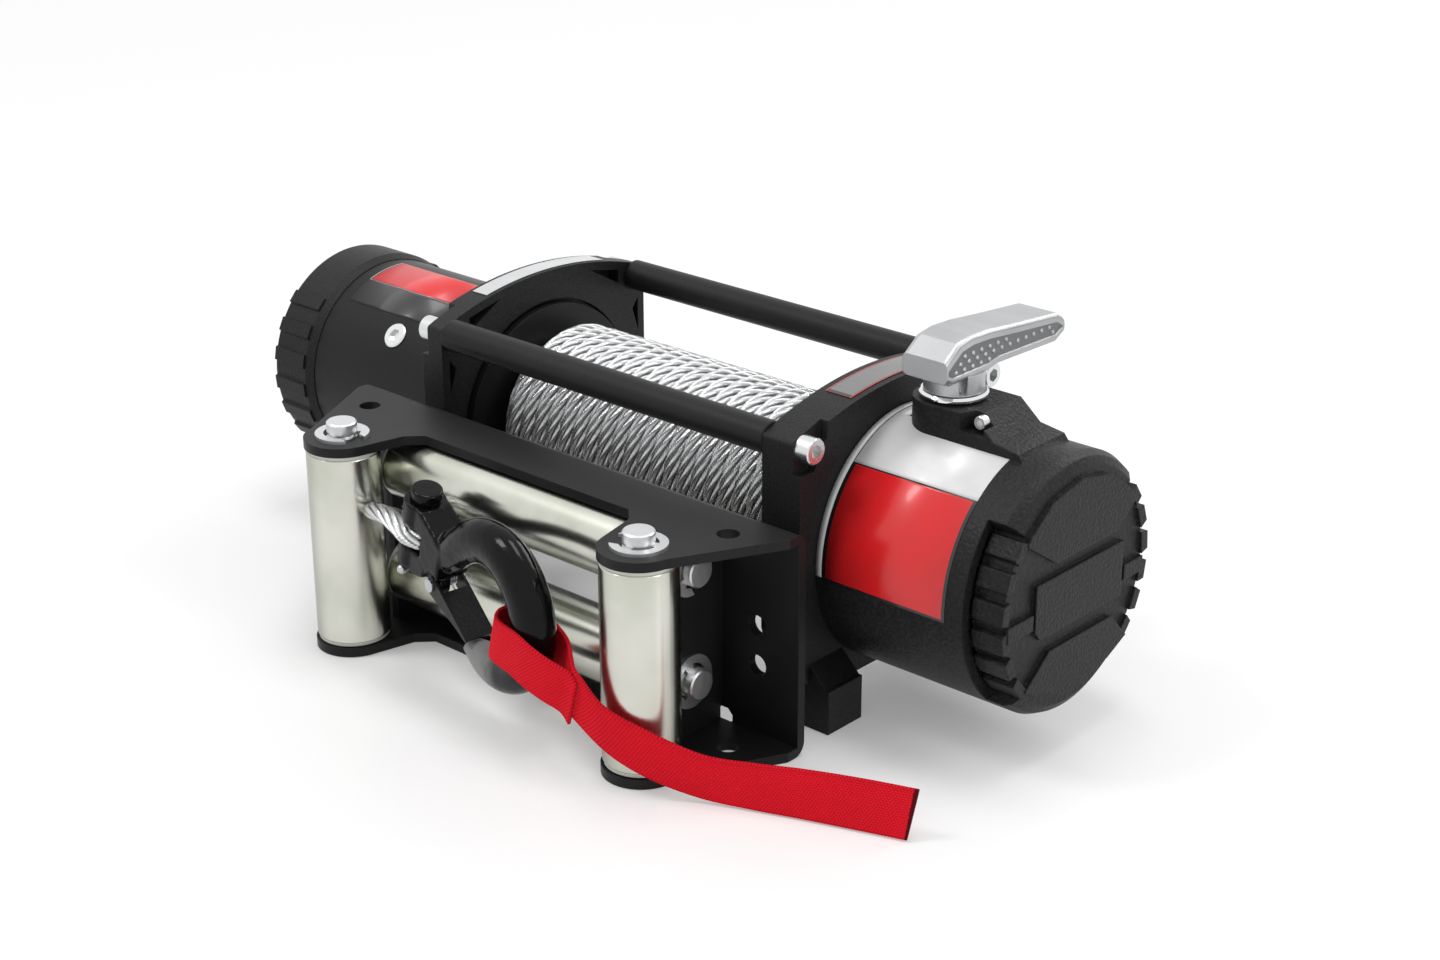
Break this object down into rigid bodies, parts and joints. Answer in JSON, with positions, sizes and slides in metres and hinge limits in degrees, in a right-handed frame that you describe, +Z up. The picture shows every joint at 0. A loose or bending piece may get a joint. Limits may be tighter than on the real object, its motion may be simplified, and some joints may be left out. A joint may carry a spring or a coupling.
{
  "type": "electric recovery winch",
  "caption": "Electric planetary recovery winch with a wire rope drum, roller fairlead, clevis hook with latch, red pull strap and a clutch lever.",
  "frame": {"origin": "centre of the four foot bolts on the plane that the feet stand on", "axes": "+X along the drum from the motor to the gear housing, -Y to the front where the rope leaves, +Z up"},
  "size_m": [0.5274, 0.2688, 0.1975],
  "materials": {
    "casting": "satin",
    "black_steel": "satin",
    "zinc_steel": "zinc plated",
    "rope_steel": "bright wire",
    "bright_steel": "polished",
    "machined_steel": "machined",
    "forged_black": "gloss",
    "cast_alloy": "blasted",
    "bronze": "sintered",
    "copper": "bare",
    "friction": "matt",
    "webbing": "woven"
  },
  "bodies": {
    "frame": {"motor_side_support": "casting", "gear_side_support": "casting", "foot_square_nuts": "zinc_steel", "front_tie_bar": "black_steel", "rear_tie_bar": "black_steel", "tie_bar_screws": "bright_steel", "drum_bushings": "bronze", "motor_case": "casting", "motor_end_cap": "casting", "motor_bearings": "machined_steel", "pole_shoes": "machined_steel", "field_coils": "copper", "pole_shoe_screws": "bright_steel", "brush_gear": "friction", "motor_terminals": "bronze", "gear_housing": "casting", "ring_gear": "machined_steel", "clutch_set_screw": "bright_steel", "clutch_ring": "bright_steel", "fairlead_bracket": "black_steel", "roller_pins": "zinc_steel", "retaining_clips": "zinc_steel", "rope_lead": "rope_steel", "rope_eye": "rope_steel", "eye_ferrule": "cast_alloy"},
    "rotor": {"armature_core": "machined_steel", "commutator": "copper", "drive_shaft": "machined_steel", "brake_hub": "machined_steel"},
    "drum": {"drum": "black_steel", "rope_core": "rope_steel", "rope_outer_layer": "rope_steel", "brake_shoes": "friction"},
    "lever": {"clutch_lever": "cast_alloy"},
    "lock_pin": {"clutch_lock_pin": "machined_steel"},
    "left_upright_roller": {"left_upright_roller": "zinc_steel"},
    "right_upright_roller": {"right_upright_roller": "zinc_steel"},
    "upper_level_roller": {"upper_level_roller": "zinc_steel"},
    "lower_level_roller": {"lower_level_roller": "zinc_steel"},
    "hook": {"hook_body": "forged_black", "clevis_pin": "forged_black", "split_pin": "zinc_steel", "latch_rivet": "zinc_steel", "latch_spring": "bright_steel", "pull_strap": "webbing"},
    "latch": {"hook_latch": "black_steel"},
    "carrier_1": {"planet_carrier_1": "machined_steel"},
    "planet_1_a": {"planet_gear_1_a": "machined_steel"},
    "planet_1_b": {"planet_gear_1_b": "machined_steel"},
    "planet_1_c": {"planet_gear_1_c": "machined_steel"},
    "carrier_2": {"planet_carrier_2": "machined_steel"},
    "planet_2_a": {"planet_gear_2_a": "machined_steel"},
    "planet_2_b": {"planet_gear_2_b": "machined_steel"},
    "planet_2_c": {"planet_gear_2_c": "machined_steel"},
    "carrier_3": {"planet_carrier_3": "machined_steel"},
    "planet_3_a": {"planet_gear_3_a": "machined_steel"},
    "planet_3_b": {"planet_gear_3_b": "machined_steel"},
    "planet_3_c": {"planet_gear_3_c": "machined_steel"}
  },
  "joints": [
    {"name": "rotor_turn", "type": "hinge", "parent": "frame", "child": "rotor", "pos_m": [-0.18, 0, 0.085], "axis": [1, 0, 0], "continuous": true},
    {"name": "drum_turn", "type": "hinge", "parent": "frame", "child": "drum", "pos_m": [0, 0, 0.085], "axis": [1, 0, 0], "continuous": true, "deforming": ["rope_lead"]},
    {"name": "carrier_1_turn", "type": "hinge", "parent": "frame", "child": "carrier_1", "pos_m": [0.206, 0, 0.085], "axis": [1, 0, 0], "continuous": true},
    {"name": "planet_1_a_turn", "type": "hinge", "parent": "carrier_1", "child": "planet_1_a", "pos_m": [0.216, 0, 0.1138], "axis": [1, 0, 0], "continuous": true},
    {"name": "planet_1_b_turn", "type": "hinge", "parent": "carrier_1", "child": "planet_1_b", "pos_m": [0.216, -0.02494, 0.0706], "axis": [1, 0, 0], "continuous": true},
    {"name": "planet_1_c_turn", "type": "hinge", "parent": "carrier_1", "child": "planet_1_c", "pos_m": [0.216, 0.02494, 0.0706], "axis": [1, 0, 0], "continuous": true},
    {"name": "carrier_2_turn", "type": "hinge", "parent": "frame", "child": "carrier_2", "pos_m": [0.178, 0, 0.085], "axis": [1, 0, 0], "continuous": true},
    {"name": "planet_2_a_turn", "type": "hinge", "parent": "carrier_2", "child": "planet_2_a", "pos_m": [0.188, 0, 0.1138], "axis": [1, 0, 0], "continuous": true},
    {"name": "planet_2_b_turn", "type": "hinge", "parent": "carrier_2", "child": "planet_2_b", "pos_m": [0.188, -0.02494, 0.0706], "axis": [1, 0, 0], "continuous": true},
    {"name": "planet_2_c_turn", "type": "hinge", "parent": "carrier_2", "child": "planet_2_c", "pos_m": [0.188, 0.02494, 0.0706], "axis": [1, 0, 0], "continuous": true},
    {"name": "carrier_3_turn", "type": "hinge", "parent": "frame", "child": "carrier_3", "pos_m": [0.15, 0, 0.085], "axis": [1, 0, 0], "continuous": true},
    {"name": "planet_3_a_turn", "type": "hinge", "parent": "carrier_3", "child": "planet_3_a", "pos_m": [0.16, 0, 0.1138], "axis": [1, 0, 0], "continuous": true},
    {"name": "planet_3_b_turn", "type": "hinge", "parent": "carrier_3", "child": "planet_3_b", "pos_m": [0.16, -0.02494, 0.0706], "axis": [1, 0, 0], "continuous": true},
    {"name": "planet_3_c_turn", "type": "hinge", "parent": "carrier_3", "child": "planet_3_c", "pos_m": [0.16, 0.02494, 0.0706], "axis": [1, 0, 0], "continuous": true},
    {"name": "lever_turn", "type": "hinge", "parent": "frame", "child": "lever", "pos_m": [0.1675, 0, 0.164], "axis": [0, 0, 1], "range_deg": [0, 90]},
    {"name": "lock_pin_slide", "type": "slide", "parent": "frame", "child": "lock_pin", "axis": [0, 0, 1], "range_m": [0, 0.0055]},
    {"name": "left_upright_roller_turn", "type": "hinge", "parent": "frame", "child": "left_upright_roller", "pos_m": [-0.1051, -0.1555, 0.0587], "axis": [0, 0, 1], "continuous": true},
    {"name": "right_upright_roller_turn", "type": "hinge", "parent": "frame", "child": "right_upright_roller", "pos_m": [0.1051, -0.1555, 0.0587], "axis": [0, 0, 1], "continuous": true},
    {"name": "upper_level_roller_turn", "type": "hinge", "parent": "frame", "child": "upper_level_roller", "pos_m": [0, -0.12, 0.0935], "axis": [1, 0, 0], "continuous": true},
    {"name": "lower_level_roller_turn", "type": "hinge", "parent": "frame", "child": "lower_level_roller", "pos_m": [0, -0.12, 0.0337], "axis": [1, 0, 0], "continuous": true},
    {"name": "hook_swing", "type": "hinge", "parent": "frame", "child": "hook", "pos_m": [-0.0434, -0.158, 0.0834], "axis": [0.2713, -0.0488, 0.9613], "range_deg": [-55, 0]},
    {"name": "latch_swing", "type": "hinge", "parent": "hook", "child": "latch", "pos_m": [-0.02382, -0.16152, 0.06209], "axis": [-0.1771, -0.9842, 0], "range_deg": [0, 27], "stiffness_Nm_per_rad": 0.02, "springref_deg": -34.38}
  ],
  "couplings": [
    {"joint": "drum_turn", "follows": "rotor_turn", "ratio": 0.0046296},
    {"joint": "carrier_1_turn", "follows": "rotor_turn", "ratio": 0.16667},
    {"joint": "planet_1_a_turn", "follows": "rotor_turn", "ratio": -0.41667},
    {"joint": "planet_1_b_turn", "follows": "rotor_turn", "ratio": -0.41667},
    {"joint": "planet_1_c_turn", "follows": "rotor_turn", "ratio": -0.41667},
    {"joint": "carrier_2_turn", "follows": "rotor_turn", "ratio": 0.027778},
    {"joint": "planet_2_a_turn", "follows": "rotor_turn", "ratio": -0.069444},
    {"joint": "planet_2_b_turn", "follows": "rotor_turn", "ratio": -0.069444},
    {"joint": "planet_2_c_turn", "follows": "rotor_turn", "ratio": -0.069444},
    {"joint": "carrier_3_turn", "follows": "rotor_turn", "ratio": 0.0046296},
    {"joint": "planet_3_a_turn", "follows": "rotor_turn", "ratio": -0.011574},
    {"joint": "planet_3_b_turn", "follows": "rotor_turn", "ratio": -0.011574},
    {"joint": "planet_3_c_turn", "follows": "rotor_turn", "ratio": -0.011574},
    {"joint": "lock_pin_slide", "follows": "lever_turn", "m_per_rad": 0.0035014}
  ]
}
